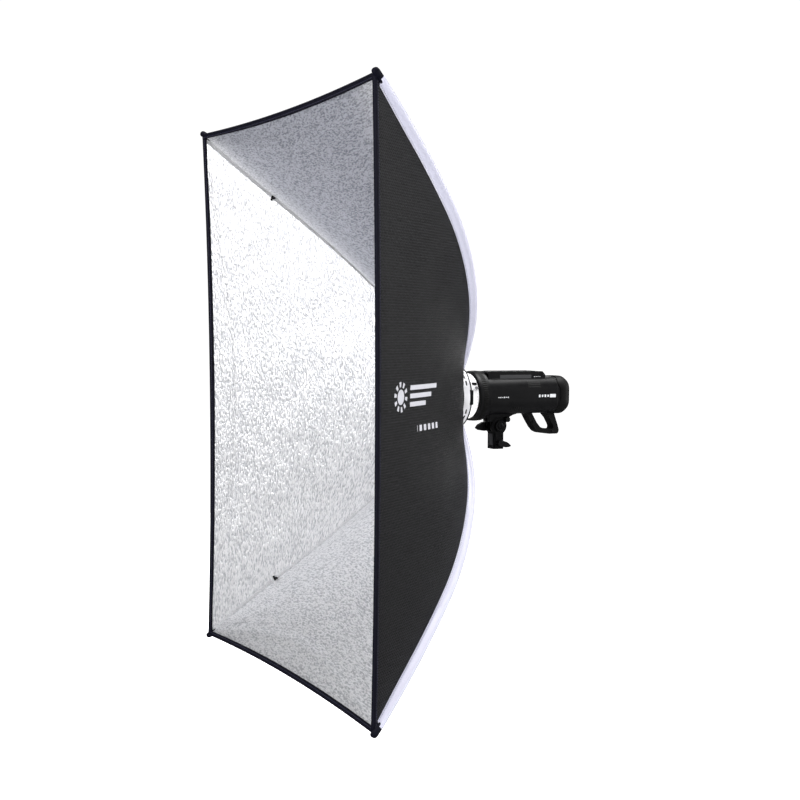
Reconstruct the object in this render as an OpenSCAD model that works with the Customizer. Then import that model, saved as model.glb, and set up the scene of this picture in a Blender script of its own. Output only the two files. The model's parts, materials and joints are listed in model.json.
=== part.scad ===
// Rectangular 3:4 softbox on a battery flash head with a tilting stand bracket.
// Millimetres, +Z up. The origin is the centre of the stand socket's mouth. The front opening faces -Y,
// the flash head points to +Y, and the optical axis is parallel to Y at the height axis_h.

/* [Front opening] */
// Width of the front opening, between the rod tips
front_w = 900; // [700:10:1000]
// Height of the front opening, between the rod tips
front_h = 1200; // [1000:10:1300]
// How far the middle of each front edge is drawn back by the cut of the fabric
edge_draw = 14; // [0:1:20]

/* [Rods and fabric] */
// Diameter of a spring rod
rod_d = 7; // [6:0.5:8]
// Outer diameter of the fabric sleeve round a rod
sleeve_d = 12; // [11:0.5:13]
// Thickness of the fabric solids along Y
cloth_t = 2.5; // [2:0.5:3]

/* [Speed ring] */
// Diameter of the ring plate
ring_d = 142; // [138:1:150]
// Thickness of the ring plate
ring_t = 22; // [22:1:24]
// Bore of the ring plate, which turns on the mount collar
ring_bore_d = 88; // [86:1:90]
// Diameter of the mount collar's white band
band_d = 104; // [98:1:108]

/* [Flash head] */
// Diameter of the black nose collar
nose_d = 114; // [110:1:118]
// Width of the head's housing
body_w = 84; // [80:1:90]
// Height of the head's housing
body_h = 86; // [82:1:90]
// Length of the main housing
body_len = 190; // [186:1:200]
// Depth of the rear cover
cover_len = 37; // [34:1:44]
// Height of the battery pack above the housing
battery_rise = 13; // [8:1:14]

/* [Stand bracket] */
// Height of the optical axis above the stand socket's mouth
axis_h = 124; // [122:1:130]
// Bore of the stand socket, for a 5/8 inch spigot
socket_d = 16.1; // [16:0.05:16.4]
// Depth of the stand socket
socket_depth = 38; // [34:1:38]
// Height of the tilt pivot above the socket's mouth
pivot_h = 54; // [54:1:56]
// Bore for an umbrella shaft
umbrella_d = 8.2; // [8:0.1:8.6]

/* [Hidden] */
$fn = 64;

// Places along Y
ring_back = -107;
ring_front = ring_back - ring_t;
rod_y = ring_front + 7.5;
band_front = -94;
band_back = -77;
nose_front = -74;
nose_back = -45;
housing_back = nose_back + body_len;
cover_back = housing_back + cover_len;

// Rods: each is three arcs that leave the ring radially and bend towards the front
half_diag = norm([front_w, front_h]) / 2;
cos_diag = front_w / 2 / half_diag;
sin_diag = front_h / 2 / half_diag;
diag_angle = atan2(front_h, front_w);
hinge_r = 58;
rod_root_r = 75;
joint_hair = 0.06;
arc_radii = [540, 890, 3160];
arc_sweeps = [25.4, 14.8, 6.3];
arc_starts = [0, arc_sweeps[0], arc_sweeps[0] + arc_sweeps[1]];
arc_reach = [for (i = [0:2]) arc_radii[i] * (sin(arc_starts[i] + arc_sweeps[i]) - sin(arc_starts[i]))];
rod_scale = (half_diag - rod_root_r) / (arc_reach[0] + arc_reach[1] + arc_reach[2]);
radii = rod_scale * arc_radii;
lengths = [for (i = [0:2]) radii[i] * arc_sweeps[i] * PI / 180];
rod_len = lengths[0] + lengths[1] + lengths[2];
corner_signs = [[1, 1], [-1, 1], [-1, -1], [1, -1]];
corner_angles = [diag_angle, 180 - diag_angle, 180 + diag_angle, -diag_angle];
NEAR_TOP = 0;
FAR_TOP = 1;
FAR_BOTTOM = 2;
NEAR_BOTTOM = 3;

// Fabric
seam_drop = sleeve_d / 2 + cloth_t + 0.8;
mouth_r = ring_d / 2 + 2;
mouth_y = ring_front - 2;
lining_gap = 4;
mid_gap = 0.5;
rows = 10;
half_columns = 4;

// Head details
wall = 3;
corner_r = 30;
tray_z = 30;
battery_w = 55;
battery_front = -39;
battery_len = 158;
battery_top = body_h / 2 + battery_rise;
dial_d = 26;
dial_z = -14;
button_d = 7;
umbrella_z = -55.5;
run_gap = 0.1;
slide_gap = 0.3;

module on_axis() { translate([0, 0, axis_h]) children(); }

// Turns a shape made along +Z so that it runs along +Y from the given place on the optical axis
module along_y(y) { translate([0, y, axis_h]) rotate([-90, 0, 0]) children(); }

// Turns a shape made along +Z so that it runs along +X
module along_x() { rotate([0, 90, 0]) children(); }

// Puts a shape drawn with X as the radius and Y as the depth into a rod's diagonal plane
module in_rod_plane(corner) { on_axis() rotate([0, -corner_angles[corner], 0]) children(); }

module rounded_rect(w, h, r) {
    square([w - 2 * r, h], center = true);
    square([w, h - 2 * r], center = true);
    for (x = [-1, 1], y = [-1, 1]) translate([x * (w / 2 - r), y * (h / 2 - r)]) circle(r);
}

module ring(r_out, r_in, h) {
    difference() {
        cylinder(r = r_out, h = h);
        translate([0, 0, -1]) cylinder(r = r_in, h = h + 2);
    }
}

// ---- Rod curve, as [radius from the axis, Y] at a length along the rod ----

function arc_step(i, q) =
    radii[i] * [sin(arc_starts[i] + q) - sin(arc_starts[i]), cos(arc_starts[i] + q) - cos(arc_starts[i])];
function arc_origin(i) =
    i == 0 ? [rod_root_r, rod_y] : arc_origin(i - 1) + arc_step(i - 1, arc_sweeps[i - 1]);
function arc_index(s) = s <= lengths[0] ? 0 : s <= lengths[0] + lengths[1] ? 1 : 2;
function arc_turn(s, i) = (s - (i > 0 ? lengths[0] : 0) - (i > 1 ? lengths[1] : 0)) / radii[i] * 180 / PI;
function rod_point(s) = let (i = arc_index(s)) arc_origin(i) + arc_step(i, arc_turn(s, i));
function rod_slope(s) = let (i = arc_index(s)) arc_starts[i] + arc_turn(s, i);
function rod_inside(s, d) = rod_point(s) - d * [sin(rod_slope(s)), cos(rod_slope(s))];

module tube_section(d_out, d_in) {
    difference() {
        circle(d = d_out);
        if (d_in > 0) circle(d = d_in);
    }
}

// One tube along the rod's arcs, drawn in the rod's plane. Each arc ends a hair before the next one, and a
// short band inside the wall joins the two.
module rod_tube(d_out, d_in = 0) {
    band = 6;
    skin = 0.2;
    for (i = [0:2]) {
        hair = joint_hair / radii[i] * 180 / PI;
        slope = arc_starts[i];
        start = arc_origin(i);
        centre = start - radii[i] * [sin(slope), cos(slope)];
        translate([centre[0], centre[1], 0])
            rotate([0, 0, 90 - slope - arc_sweeps[i] + hair])
                rotate_extrude(angle = arc_sweeps[i] - hair)
                    translate([radii[i], 0]) tube_section(d_out, d_in);
        if (i > 0) translate([start[0], start[1], 0]) rotate([0, 0, -slope]) translate([-band / 2, 0, 0])
            along_x() linear_extrude(band) tube_section(d_out - skin, d_in > 0 ? d_in + skin : 0);
    }
}

// ---- Fabric surface ----
// s runs along the rod, and w across a panel, from 0 at the panel's middle to 1 at the seam on the rod.

front_y = rod_point(rod_len)[1];
function chord_y(x, half) = mouth_y + (front_y - mouth_y) * (x - mouth_r) / (half - mouth_r);
function depth_share(r) = (r - rod_root_r) / (half_diag - rod_root_r);

// The seam in the rod's plane: close in front of the rod, and straighter in the lining
function seam_point(s, lining) =
    let (p = rod_inside(s, seam_drop), g = depth_share(p[0]), pull = lining ? 0.2 + 0.45 * g : 0)
    [p[0], p[1] + pull * min(0, chord_y(p[0], half_diag) - p[1]) - (lining ? lining_gap : 0)];

// How far the middle of a panel is drawn forwards from a straight line between its two seams
function mid_pull(p, share, half, lining) =
    let (
        g = depth_share(p[0]),
        tight = lining ? 0.9 - 0.1 * g : 0.75 - 0.3 * g,
        drop = lining ? lining_gap : 0
    )
    tight * min(0, chord_y(share * p[0], half) - p[1] - drop);

function first_s(w, share, other) = max(0, mouth_r / norm([share, other * w]) - rod_root_r);
function last_s(w) = rod_len - edge_draw * (1 - w * w);
function across(full, w) = mid_gap + (full - mid_gap) * w;

function fabric_point(u, v, lining) =
    let (
        w = 1 - abs(u),
        on_side = u < 0,
        share = on_side ? cos_diag : sin_diag,
        other = on_side ? sin_diag : cos_diag,
        s = first_s(w, share, other) * (1 - v) + last_s(w) * v,
        p = seam_point(s, lining),
        y = p[1] + (1 - w * w) * mid_pull(p, share, share * half_diag, lining)
    )
    on_side ? [share * p[0], y, across(other * p[0], w)] : [across(other * p[0], w), y, share * p[0]];

// A corner of the fabric: from the middle of the side, over the rod's seam, to the middle of the top
module fabric_corner(corner, lining) {
    columns = 2 * half_columns;
    stride = columns + 1;
    layer = stride * (rows + 1);
    sheet = [for (i = [0:rows], j = [0:columns]) fabric_point(j / half_columns - 1, i / rows, lining)];
    points = concat(sheet, [for (p = sheet) p + [0, cloth_t, 0]]);
    front = [for (i = [0:rows - 1], j = [0:columns - 1]) let (a = i * stride + j)
        each [[a, a + stride, a + 1], [a + 1, a + stride, a + stride + 1]]];
    back = [for (f = front) [f[0] + layer, f[2] + layer, f[1] + layer]];
    rim = concat(
        [for (j = [0:columns]) j],
        [for (i = [1:rows]) i * stride + columns],
        [for (j = [columns - 1:-1:0]) rows * stride + j],
        [for (i = [rows - 1:-1:1]) i * stride]);
    n = len(rim);
    edge = [for (k = [0:n - 1]) let (a = rim[k], b = rim[(k + 1) % n])
        each [[a, b, b + layer], [a, b + layer, a + layer]]];
    on_axis()
        mirror([corner_signs[corner][0] < 0 ? 1 : 0, 0, 0])
            mirror([0, 0, corner_signs[corner][1] < 0 ? 1 : 0])
                polyhedron(points, concat(front, back, edge));
}

// ---- Softbox parts ----

module ring_plate() {
    slot_w = 12;
    slot_in = 50;
    pocket = [20, 8, 36];
    color("gainsboro")
    difference() {
        along_y(ring_front) cylinder(d = ring_d, h = ring_t, $fn = 128);
        along_y(ring_front - 1) cylinder(d = ring_bore_d, h = ring_t + 2, $fn = 128);
        for (c = [0:3]) in_rod_plane(c) {
            translate([slot_in, ring_front - 1, -slot_w / 2]) cube([ring_d, 16, slot_w]);
            translate([hinge_r, rod_y, -13]) cylinder(d = 4, h = 26);
        }
        for (a = [27, 40, 140, 153]) for (side = [-1, 1])
            on_axis() rotate([0, side * a, 0])
                translate([ring_d / 2 - 3, ring_front + 9, -6]) cube([6, 4, 12]);
        on_axis() translate([ring_d / 2 - 16, ring_back - 5, -pocket[2] / 2]) cube(pocket);
    }
}

module hinge_pins() {
    color("silver")
    for (c = [0:3]) in_rod_plane(c) translate([hinge_r, rod_y, -13]) cylinder(d = 4, h = 26);
}

module knuckle(corner) {
    color("dimgray")
    in_rod_plane(corner) difference() {
        union() {
            translate([hinge_r, rod_y, -5.5]) cylinder(d = 12, h = 11);
            translate([hinge_r, rod_y, 0]) along_x() cylinder(d = 11, h = 20);
        }
        translate([hinge_r, rod_y, -10]) cylinder(d = 4.1, h = 20);
        translate([hinge_r + 8, rod_y, 0]) along_x() cylinder(d = rod_d + 0.2, h = 20);
    }
}

module rod(corner) {
    color("silver")
    in_rod_plane(corner) {
        translate([hinge_r + 8.1, rod_y, 0])
            along_x() cylinder(d = rod_d, h = rod_root_r - hinge_r - 8.1 - joint_hair);
        translate([rod_root_r - 3, rod_y, 0]) along_x() cylinder(d = rod_d - 0.2, h = 6);
        rod_tube(rod_d);
    }
}

module rod_cap(corner) {
    tip = rod_point(rod_len);
    slope = rod_slope(rod_len);
    color("black")
    in_rod_plane(corner) translate([tip[0], tip[1], 0]) rotate([0, 0, -slope]) along_x() {
        cylinder(d = 10, h = 5);
        translate([0, 0, 5]) intersection() { sphere(d = 10); cylinder(d = 12, h = 6); }
    }
}

module sleeve(corner) {
    color("black")
    in_rod_plane(corner) difference() {
        rod_tube(sleeve_d, rod_d + 1);
        translate([rod_root_r - 1, rod_y - 20, -20]) cube([5, 40, 40]);
    }
}

module hook(corner) {
    place = seam_point(0.7 * rod_len, true);
    color("black")
    in_rod_plane(corner) translate([place[0] - 4, place[1] - 9, 0]) {
        translate([0, 0, -6]) cylinder(d = 5, h = 12);
        translate([-1.5, 0, -2]) cube([3, 8, 4]);
    }
}

module fold_lever() {
    color("black")
    on_axis() translate([ring_d / 2 - 11, ring_back - 4.5, -16.5]) {
        cube([10, 4, 33]);
        translate([1, 3.9, 0]) cube([8, 5.1, 33]);
    }
}

module fold_spring() {
    color("silver")
    on_axis() for (z = [-10, 10])
        translate([ring_d / 2 - 15.5, ring_back - 2.5, z]) along_x() ring(1.5, 1, 4.2);
}

module mount_collar() {
    bore_r = 39;
    spigot_r = ring_bore_d / 2 - run_gap;
    neck_r = 47;
    color("white")
    difference() {
        along_y(0) rotate_extrude($fn = 128) polygon([
            [bore_r, ring_front - 4], [spigot_r, ring_front - 4],
            [spigot_r, ring_back + 0.3], [neck_r, ring_back + 0.3],
            [neck_r, band_front], [band_d / 2 - 1, band_front],
            [band_d / 2, band_front + 1], [band_d / 2, band_back - 1],
            [band_d / 2 - 1, band_back], [45, band_back],
            [45, nose_front + 8], [bore_r, nose_front + 8]]);
        lock_place() translate([0, 0, -10]) cylinder(d = 4.1, h = 20);
    }
}

module retaining_ring() {
    color("silver") along_y(ring_front - 2.5) ring(49, ring_bore_d / 2 - run_gap, 2.2);
}

module lock_place() {
    on_axis() rotate([0, -20, 0])
        translate([band_d / 2, (band_front + band_back) / 2, 0]) along_x() children();
}

module rotation_lock() {
    color("silver") lock_place() {
        translate([0, 0, -7]) cylinder(d = 4, h = 7.2);
        translate([0, 0, 0.2]) cylinder(d = 9, h = 6);
    }
}

// ---- Flash head parts ----

module front_collar() {
    seat_r = 45.3;
    bore_r = 39;
    color("black")
    difference() {
        along_y(0) rotate_extrude($fn = 128) polygon([
            [seat_r, nose_front], [nose_d / 2 - 2, nose_front],
            [nose_d / 2, nose_front + 2], [nose_d / 2, nose_back - 3],
            [nose_d / 2 - 6, nose_back], [bore_r, nose_back],
            [bore_r, nose_front + 8.5], [seat_r, nose_front + 8.5]]);
        release_place() translate([nose_d / 2 - 5, nose_front + 4, -6]) cube([10, 20, 12]);
    }
}

module release_place() { on_axis() rotate([0, -150, 0]) children(); }

module bayonet_release() {
    color("dimgray")
    release_place() translate([nose_d / 2 - 4.7, nose_front + 5, -5.7]) cube([7.5, 10, 11.4]);
}

module main_housing() {
    color([0.09, 0.09, 0.1])
    difference() {
        along_y(nose_back) linear_extrude(body_len) rounded_rect(body_w, body_h, corner_r);
        intersection() {
            along_y(nose_back + 4)
                linear_extrude(body_len)
                    rounded_rect(body_w - 2 * wall, body_h - 2 * wall, corner_r - wall);
            translate([-body_w, nose_back, axis_h - body_h])
                cube([2 * body_w, 2 * body_len, body_h + tray_z - wall]);
        }
        along_y(nose_back - 1) cylinder(r = 38, h = 6);
        translate([-battery_w / 2 - slide_gap, battery_front - slide_gap, axis_h + tray_z])
            cube([battery_w + 2 * slide_gap, battery_len + 2, body_h]);
    }
}

module rear_cover() {
    back_w = body_w - 24;
    back_h = body_h - 24;
    color([0.07, 0.07, 0.08])
    difference() {
        union() {
            along_y(housing_back) linear_extrude(cover_len - 14) rounded_rect(body_w, body_h, corner_r);
            hull() {
                along_y(cover_back - 14.1) linear_extrude(0.1) rounded_rect(body_w, body_h, corner_r);
                along_y(cover_back - 5) linear_extrude(0.1) rounded_rect(body_w - 10, body_h - 10, 26);
                along_y(cover_back - 0.1) linear_extrude(0.1) rounded_rect(back_w, back_h, 20);
            }
        }
        along_y(housing_back - 1)
            linear_extrude(cover_len - 15)
                rounded_rect(body_w - 2 * wall, body_h - 2 * wall, corner_r - wall);
        display_place() translate([0, 0, -2]) linear_extrude(10) square([36, 20], center = true);
        along_y(cover_back) translate([0, -dial_z, -6]) cylinder(d = 6.1, h = 20);
        for (place = button_places) along_y(cover_back) translate([place[0], -place[1], -20])
            cylinder(d = button_d + 0.4, h = 40);
    }
}

button_places = [[-21, -14], [21, -14], [21, -26]];

module display_place() { along_y(cover_back) translate([0, -16, 0]) children(); }

module display_window() {
    color([0.15, 0.2, 0.25]) display_place() translate([0, 0, -1.9])
        linear_extrude(1.6) square([35.6, 19.6], center = true);
}

module control_dial() {
    color([0.12, 0.12, 0.13]) along_y(cover_back) translate([0, -dial_z, 0]) {
        translate([0, 0, 0.4]) cylinder(d = dial_d, h = 9);
        translate([0, 0, -5]) cylinder(d = 6, h = 5.5);
    }
}

module panel_button(place) {
    along_y(cover_back) translate([place[0], -place[1], 0]) {
        translate([0, 0, -8]) cylinder(d = button_d, h = 10.5);
        translate([0, 0, -12.5]) cylinder(d = 3, h = 5);
    }
}

module set_button() { color("dimgray") panel_button(button_places[0]); }
module test_button() { color("firebrick") panel_button(button_places[1]); }
module power_button() { color("dimgray") panel_button(button_places[2]); }

// D-shaped grip under the back of the housing, drawn in the Y-Z plane
module handle() {
    thick = 26;
    root_z = -body_h / 2 - 0.2;
    color([0.07, 0.07, 0.08])
    on_axis() rotate([90, 0, 90]) translate([0, 0, -thick / 2]) linear_extrude(thick)
        difference() {
            offset(r = 6) offset(delta = -6)
                polygon([
                    [76, root_z + 12], [79, -46], [88, -61], [99, -77], [108, -86], [118, -90.5],
                    [143, -93.5], [168, -93.5], [170, -84], [165, -69], [156, -46], [152, root_z + 12]]);
            offset(r = 4) offset(delta = -4)
                polygon([
                    [92, root_z + 12], [93, root_z], [100, -55], [107, -66], [116, -76], [124, -79.5],
                    [154, -82], [153, -73], [143, -56], [131, root_z], [130, root_z + 12]]);
            translate([50, root_z]) square([150, 30]);
        }
}

module battery_pack() {
    edge = 8;
    color([0.05, 0.05, 0.06])
    difference() {
        translate([-battery_w / 2, battery_front, axis_h + tray_z + 0.1]) rotate([90, 0, 90])
            linear_extrude(battery_w) polygon([
                [0, 0], [battery_len, 0], [battery_len, battery_top - tray_z - edge],
                [battery_len - edge, battery_top - tray_z - 0.1], [4, battery_top - tray_z - 0.1],
                [0, battery_top - tray_z - 4]]);
        latch_place() translate([-10.3, -6, -6]) cube([20.6, 30, 14.2]);
    }
}

module latch_place() { on_axis() translate([0, battery_front + battery_len - 1, tray_z + 8]) children(); }

module battery_latch() {
    color("dimgray") latch_place() translate([-10, -3, -4]) cube([20, 4.4, 11]);
}

module flash_tube() {
    color([0.95, 0.95, 0.9]) along_y(-88) {
        rotate([0, 0, 100]) rotate_extrude(angle = 340) translate([27, 0]) circle(d = 6);
        for (a = [100, 80]) rotate([0, 0, a]) translate([27, 0, 0]) cylinder(d = 5, h = 40);
    }
}

module modelling_lamp() {
    color("gold") along_y(-70) {
        cylinder(r = 20, h = 5);
        translate([0, 0, -6]) cylinder(r = 9, h = 6.5);
        translate([0, 0, 4.9]) cylinder(r = 6, h = 24);
    }
}

module glass_cover() {
    color([0.9, 0.92, 0.95, 0.6]) along_y(-104) difference() {
        union() {
            translate([0, 0, 12]) cylinder(r = 36, h = 46);
            rotate_extrude() polygon([[0, 0], [24, 0], [33, 5], [36, 12], [0, 12]]);
        }
        translate([0, 0, 3]) cylinder(r = 22, h = 12);
        translate([0, 0, 11]) cylinder(r = 34, h = 60);
    }
}

module main_board() {
    color("darkgreen") on_axis() translate([-32, -20, -18]) cube([64, 140, 1.6]);
}

module capacitors() {
    color("navy") on_axis() for (x = [-17, 17])
        translate([x, -15, 3]) rotate([-90, 0, 0]) cylinder(d = 32, h = 80);
}

fan_y = 128;

module fan_frame() {
    color([0.1, 0.1, 0.1]) along_y(fan_y) {
        difference() {
            linear_extrude(12) rounded_rect(50, 50, 4);
            translate([0, 0, -1]) cylinder(r = 23, h = 20);
        }
        translate([0, 0, 10]) cylinder(r = 8, h = 2);
        for (a = [0:90:270]) rotate([0, 0, a]) translate([6, -1.5, 10]) cube([19, 3, 2]);
        translate([0, 0, 2]) cylinder(d = 3, h = 8.5);
    }
}

module fan_rotor() {
    color([0.2, 0.2, 0.2]) along_y(fan_y) difference() {
        union() {
            translate([0, 0, 0.5]) cylinder(r = 8, h = 9);
            for (a = [0:45:315]) rotate([0, 0, a]) translate([7, 0, 5]) rotate([35, 0, 0])
                translate([0, -0.75, -4]) cube([14, 1.5, 8]);
        }
        translate([0, 0, -1]) cylinder(d = 3.1, h = 12);
    }
}

// ---- Stand bracket parts ----

neck_w = 32;
neck_l = 27;
tongue_w = 12;
cheek_r = 20;
groove_r = 13.5;
bolt_d = 8;

module stand_block() {
    color([0.06, 0.06, 0.07])
    difference() {
        union() {
            linear_extrude(pivot_h) rounded_rect(neck_w, neck_l, 4);
            translate([-neck_w / 2, 0, pivot_h]) along_x() cylinder(r = cheek_r, h = neck_w);
        }
        translate([0, 0, -1]) cylinder(d = socket_d, h = socket_depth + 1);
        translate([-tongue_w / 2 - 0.2, -50, pivot_h - groove_r]) cube([tongue_w + 0.4, 100, 60]);
        translate([-50, 0, pivot_h]) along_x() cylinder(d = bolt_d + 0.1, h = 100);
        translate([0, 0, clamp_z]) along_x() cylinder(d = 6.1, h = 50);
    }
}

clamp_z = 14;

// A leaf-shaped lever that points along +X from its hub
module lever_arm(hub_r, reach, h) {
    linear_extrude(h) hull() {
        circle(hub_r);
        translate([0.52 * reach, 0]) circle(0.94 * hub_r);
        translate([0.78 * reach, 0]) circle(0.66 * hub_r);
        translate([reach, 0]) circle(1.6);
    }
}

module clamp_screw() {
    color([0.08, 0.08, 0.09]) translate([0, 0, clamp_z]) {
        translate([socket_d / 2 + 0.6, 0, 0]) along_x() cylinder(d = 6, h = 14);
        translate([neck_w / 2 + 0.5, 0, 0]) along_x() rotate([0, 0, 75]) lever_arm(7, 26, 9);
    }
}

module yoke() {
    root_z = axis_h - body_h / 2 - 0.1;
    saddle_r = cheek_r + 0.5;
    color([0.06, 0.06, 0.07])
    difference() {
        union() {
            translate([-15.5, 0, 0]) rotate([90, 0, 90]) linear_extrude(31) difference() {
                polygon([
                    [-26, root_z], [-25.5, 70], [-24.5, 63], [22.5, 63], [23.5, 68], [27, 72.5],
                    [31.5, 75.5], [38, 78.3], [46, 80.2], [48, root_z]]);
                translate([0, pivot_h]) circle(saddle_r, $fn = 96);
            }
            translate([-tongue_w / 2, -11, pivot_h]) cube([tongue_w, 22, 22]);
            translate([-tongue_w / 2, 0, pivot_h]) along_x() cylinder(r = 12, h = tongue_w);
        }
        translate([0, -50, axis_h + umbrella_z]) rotate([-90, 0, 0]) cylinder(d = umbrella_d, h = 100);
        translate([-50, 0, pivot_h]) along_x() cylinder(d = bolt_d + 0.1, h = 100);
        umbrella_screw_place() cylinder(d = 5.1, h = 40);
    }
}

module umbrella_screw_place() { translate([0, 19, axis_h + umbrella_z]) along_x() children(); }

module umbrella_screw() {
    color([0.1, 0.1, 0.1]) umbrella_screw_place() {
        translate([0, 0, umbrella_d / 2 + 0.4]) cylinder(d = 5, h = 12.5);
        translate([0, 0, 16.4]) cylinder(d = 12, h = 8);
    }
}

module tilt_bolt() {
    color("dimgray") translate([0, 0, pivot_h]) along_x() {
        translate([0, 0, -neck_w / 2]) cylinder(d = bolt_d, h = neck_w + 0.5);
        translate([0, 0, neck_w / 2 + 0.3]) cylinder(r = 13, h = 5);
    }
}

module tilt_lever() {
    color([0.08, 0.08, 0.09]) translate([-neck_w / 2 - 0.3, 0, pivot_h]) rotate([0, -90, 0])
        rotate([0, 0, -99]) lever_arm(11, 40, 10);
}

stand_block();
clamp_screw();
tilt_bolt();
tilt_lever();
yoke();
umbrella_screw();
main_housing();
front_collar();
bayonet_release();
rear_cover();
handle();
battery_pack();
battery_latch();
display_window();
control_dial();
set_button();
test_button();
power_button();
flash_tube();
modelling_lamp();
glass_cover();
main_board();
capacitors();
fan_frame();
fan_rotor();
mount_collar();
retaining_ring();
rotation_lock();
ring_plate();
hinge_pins();
fold_lever();
fold_spring();
knuckle(NEAR_TOP);  // knuckle_near_top
rod(NEAR_TOP);  // rod_near_top
rod_cap(NEAR_TOP);  // rod_cap_near_top
sleeve(NEAR_TOP);  // sleeve_near_top
color([0.1, 0.1, 0.12]) fabric_corner(NEAR_TOP, false);  // outer_near_top
color("silver") fabric_corner(NEAR_TOP, true);  // lining_near_top
hook(NEAR_TOP);  // hook_near_top
knuckle(FAR_TOP);  // knuckle_far_top
rod(FAR_TOP);  // rod_far_top
rod_cap(FAR_TOP);  // rod_cap_far_top
sleeve(FAR_TOP);  // sleeve_far_top
color([0.1, 0.1, 0.12]) fabric_corner(FAR_TOP, false);  // outer_far_top
color("silver") fabric_corner(FAR_TOP, true);  // lining_far_top
hook(FAR_TOP);  // hook_far_top
knuckle(FAR_BOTTOM);  // knuckle_far_bottom
rod(FAR_BOTTOM);  // rod_far_bottom
rod_cap(FAR_BOTTOM);  // rod_cap_far_bottom
sleeve(FAR_BOTTOM);  // sleeve_far_bottom
color([0.1, 0.1, 0.12]) fabric_corner(FAR_BOTTOM, false);  // outer_far_bottom
color("silver") fabric_corner(FAR_BOTTOM, true);  // lining_far_bottom
hook(FAR_BOTTOM);  // hook_far_bottom
knuckle(NEAR_BOTTOM);  // knuckle_near_bottom
rod(NEAR_BOTTOM);  // rod_near_bottom
rod_cap(NEAR_BOTTOM);  // rod_cap_near_bottom
sleeve(NEAR_BOTTOM);  // sleeve_near_bottom
color([0.1, 0.1, 0.12]) fabric_corner(NEAR_BOTTOM, false);  // outer_near_bottom
color("silver") fabric_corner(NEAR_BOTTOM, true);  // lining_near_bottom
hook(NEAR_BOTTOM);  // hook_near_bottom
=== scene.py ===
"""Looks of a rectangular 3:4 softbox on a battery flash head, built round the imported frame.

Metres, in the CAD part's frame: +Z up, the front opening faces -Y, and the optical axis is parallel to Y.
"""

import json
import math

import bmesh
import bpy
import numpy as np
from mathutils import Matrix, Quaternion, Vector


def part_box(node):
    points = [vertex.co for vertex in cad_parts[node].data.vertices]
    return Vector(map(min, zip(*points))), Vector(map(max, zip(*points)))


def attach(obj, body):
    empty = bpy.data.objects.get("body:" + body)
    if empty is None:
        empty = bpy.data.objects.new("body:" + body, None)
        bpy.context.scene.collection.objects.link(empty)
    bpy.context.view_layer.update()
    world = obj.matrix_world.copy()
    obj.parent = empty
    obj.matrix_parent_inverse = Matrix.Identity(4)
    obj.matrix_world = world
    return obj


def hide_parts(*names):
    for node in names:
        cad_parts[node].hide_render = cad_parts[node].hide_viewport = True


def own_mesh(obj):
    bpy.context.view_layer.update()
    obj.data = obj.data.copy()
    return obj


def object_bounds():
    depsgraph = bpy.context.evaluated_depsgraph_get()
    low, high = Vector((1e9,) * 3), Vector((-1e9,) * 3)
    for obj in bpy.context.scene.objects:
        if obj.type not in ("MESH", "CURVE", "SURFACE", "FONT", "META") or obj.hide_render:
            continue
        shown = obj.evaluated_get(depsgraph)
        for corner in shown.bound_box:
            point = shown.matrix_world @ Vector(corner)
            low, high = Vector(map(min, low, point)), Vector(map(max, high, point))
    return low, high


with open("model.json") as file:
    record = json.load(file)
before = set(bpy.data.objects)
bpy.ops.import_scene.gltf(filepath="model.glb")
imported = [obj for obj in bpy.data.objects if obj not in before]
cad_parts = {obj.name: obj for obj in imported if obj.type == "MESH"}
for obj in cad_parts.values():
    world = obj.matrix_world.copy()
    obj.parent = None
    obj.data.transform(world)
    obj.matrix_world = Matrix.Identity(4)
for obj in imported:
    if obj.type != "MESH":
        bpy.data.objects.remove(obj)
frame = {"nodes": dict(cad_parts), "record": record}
CAD_BOX = [list(corner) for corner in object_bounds()]

# ---- Driving sizes, the same as in the CAD source ----

FRONT_W, FRONT_H = 0.9, 1.2
EDGE_DRAW = 0.014
SLEEVE_R = 0.006
CLOTH_T = 0.0025
RING_R = 0.071
AXIS_Z = 0.124
RING_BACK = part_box("ring_plate")[1].y
RING_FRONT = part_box("ring_plate")[0].y
ROD_Y = RING_FRONT + 0.0075
ROD_ROOT_R, HINGE_R = 0.075, 0.058
ARC_SWEEPS = np.radians([25.4, 14.8, 6.3])
ARC_STARTS = np.array([0, ARC_SWEEPS[0], ARC_SWEEPS[0] + ARC_SWEEPS[1]])
ARC_SHAPES = np.array([0.54, 0.89, 3.16])

HALF_DIAG = math.hypot(FRONT_W, FRONT_H) / 2
COS_DIAG = FRONT_W / 2 / HALF_DIAG
SIN_DIAG = FRONT_H / 2 / HALF_DIAG
DIAG = math.atan2(FRONT_H, FRONT_W)
ARC_REACH = ARC_SHAPES * (np.sin(ARC_STARTS + ARC_SWEEPS) - np.sin(ARC_STARTS))
RADII = ARC_SHAPES * (HALF_DIAG - ROD_ROOT_R) / ARC_REACH.sum()
LENGTHS = RADII * ARC_SWEEPS
ROD_LEN = LENGTHS.sum()
ARC_FROM = np.array([0, LENGTHS[0], LENGTHS[0] + LENGTHS[1]])

SEAM_DROP = SLEEVE_R + CLOTH_T + 0.0008
TIP_FROM, TIP_RISE = 0.8, 0.6  # where the seam starts to rise to the rod's tip, and by what share
MOUTH_R = RING_R + 0.002
MOUTH_Y = RING_FRONT - 0.002
LINING_GAP = 0.004

# name: (sign of X, sign of Z, angle about the axis)
CORNERS = {
    "near_top": (1, 1, DIAG),
    "far_top": (-1, 1, math.pi - DIAG),
    "far_bottom": (-1, -1, math.pi + DIAG),
    "near_bottom": (1, -1, -DIAG),
}


# ---- The rods' curve and the fabric's surface ----

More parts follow.
